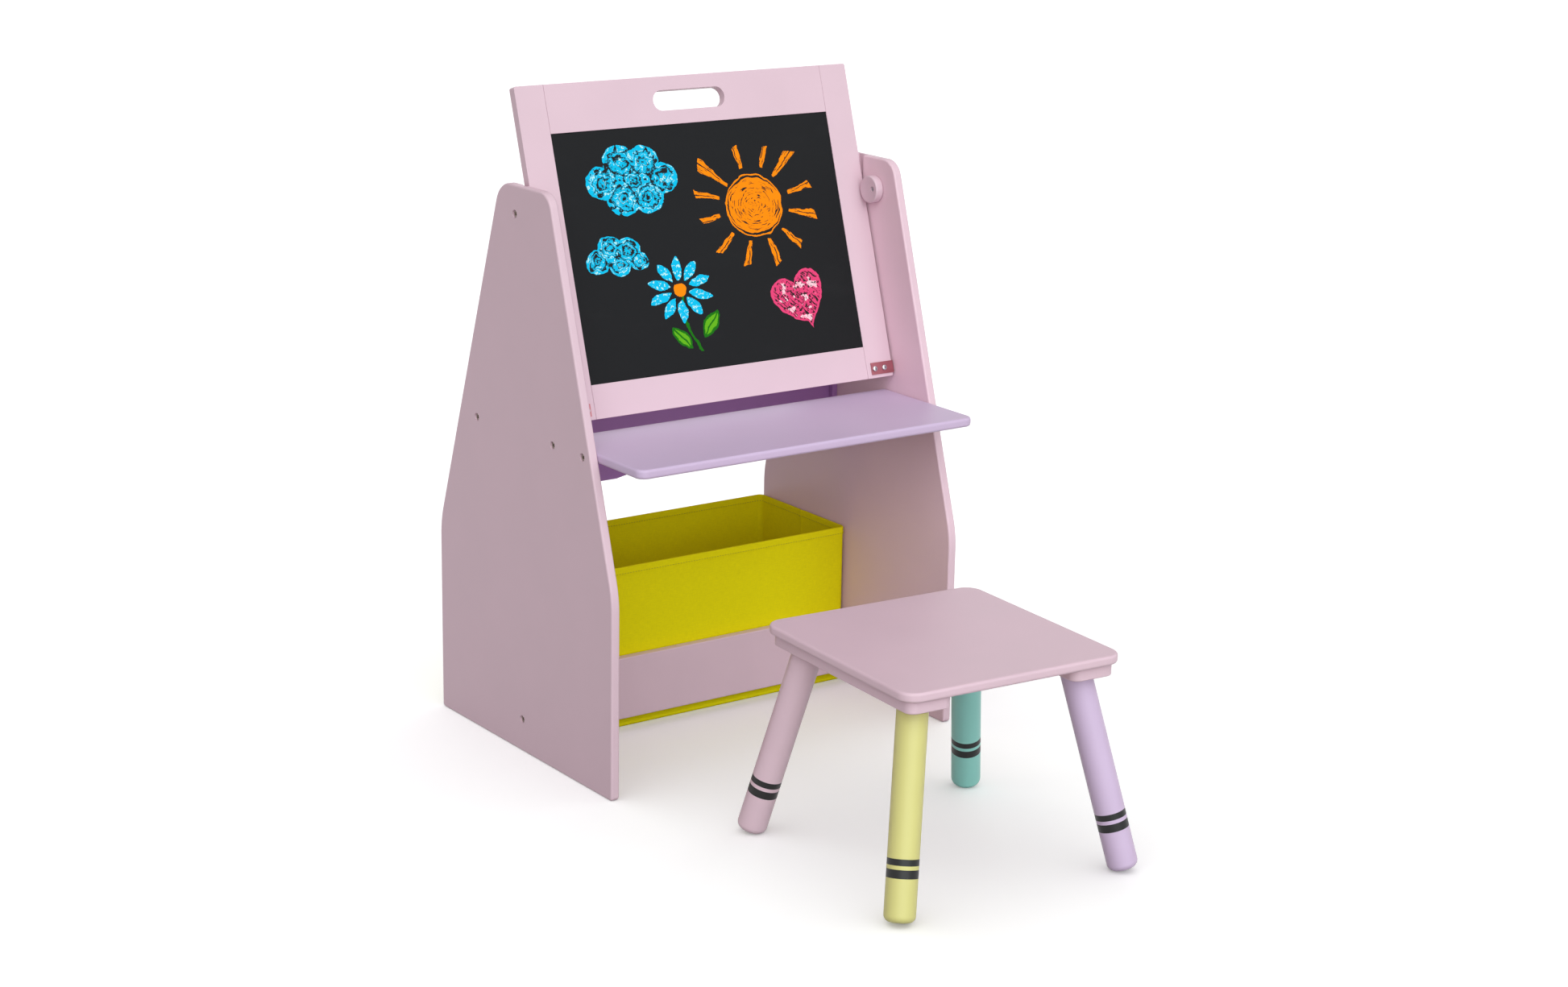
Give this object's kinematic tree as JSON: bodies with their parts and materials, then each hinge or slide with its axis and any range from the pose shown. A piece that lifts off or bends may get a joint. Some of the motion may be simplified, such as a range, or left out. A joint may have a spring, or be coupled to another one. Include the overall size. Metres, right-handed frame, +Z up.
{
  "type": "kids easel",
  "caption": "Free-standing play easel with a leaning lift-off chalk and dry-erase board, front tray, fabric toy bin and a separate matching stool.",
  "frame": {"origin": "on the floor, under the middle of the bounding box of the whole set", "axes": "+Z up; +X to the right of a child facing the chalkboard; +Y from the front to the back"},
  "size_m": [0.54, 0.9526, 0.8569],
  "materials": {
    "pink_lacquer": "satin lacquer",
    "lilac_lacquer": "satin lacquer",
    "yellow_lacquer": "satin lacquer",
    "teal_lacquer": "satin lacquer",
    "bin_fabric": "matt non-woven",
    "chalkboard": "matt blackboard lacquer",
    "whiteboard": "gloss",
    "steel": "zinc plated",
    "brass": "polished"
  },
  "bodies": {
    "frame": {"side_panel_left": "pink_lacquer", "side_panel_right": "pink_lacquer", "top_rail": "pink_lacquer", "rear_rail": "pink_lacquer", "tray": "lilac_lacquer", "apron": "lilac_lacquer", "apron_cleat_left": "lilac_lacquer", "apron_cleat_right": "lilac_lacquer", "kick_bar": "pink_lacquer", "bolt_top_rail_left": "steel", "bolt_rear_rail_left": "steel", "bolt_tray_rear_left": "steel", "bolt_tray_front_left": "steel", "bolt_kick_bar_left": "steel", "bolt_top_rail_right": "steel", "bolt_rear_rail_right": "steel", "bolt_tray_rear_right": "steel", "bolt_tray_front_right": "steel", "bolt_kick_bar_right": "steel", "hook_stud_left": "steel", "hook_stud_right": "steel"},
    "board": {"board_stile_left": "pink_lacquer", "board_stile_right": "pink_lacquer", "board_rail_top": "pink_lacquer", "board_rail_bottom": "pink_lacquer", "chalkboard_panel": "chalkboard", "whiteboard_panel": "whiteboard", "board_pin_left": "steel", "board_pin_right": "steel", "bracket_left": "brass", "bracket_right": "brass", "bracket_screw_outer_left": "steel", "bracket_screw_inner_left": "steel", "bracket_screw_outer_right": "steel", "bracket_screw_inner_right": "steel"},
    "cam_left": {"cam_disc_left": "pink_lacquer", "cam_screw_left": "steel"},
    "cam_right": {"cam_disc_right": "pink_lacquer", "cam_screw_right": "steel"},
    "bin": {"bin": "bin_fabric"},
    "stool": {"stool_seat": "pink_lacquer", "stool_batten_left": "pink_lacquer", "stool_batten_right": "pink_lacquer", "stool_leg_back_left": "pink_lacquer", "stool_leg_front_left": "yellow_lacquer", "stool_leg_back_right": "teal_lacquer", "stool_leg_front_right": "lilac_lacquer"}
  },
  "joints": [
    {"name": "board_lift", "type": "slide", "parent": "frame", "child": "board", "axis": [0, 0.299, 0.9542], "range_m": [0, 0.31]},
    {"name": "cam_left_turn", "type": "hinge", "parent": "frame", "child": "cam_left", "pos_m": [-0.2577, 0.22269, 0.7], "axis": [1, 0, 0], "continuous": true},
    {"name": "cam_right_turn", "type": "hinge", "parent": "frame", "child": "cam_right", "pos_m": [0.2577, 0.22269, 0.7], "axis": [1, 0, 0], "continuous": true},
    {"name": "bin_pull", "type": "slide", "parent": "frame", "child": "bin", "axis": [0, 1, 0], "range_m": [0, 0.21]},
    {"name": "stool_pull", "type": "slide", "parent": "frame", "child": "stool", "axis": [0, -1, 0], "range_m": [0, 0.3]}
  ]
}
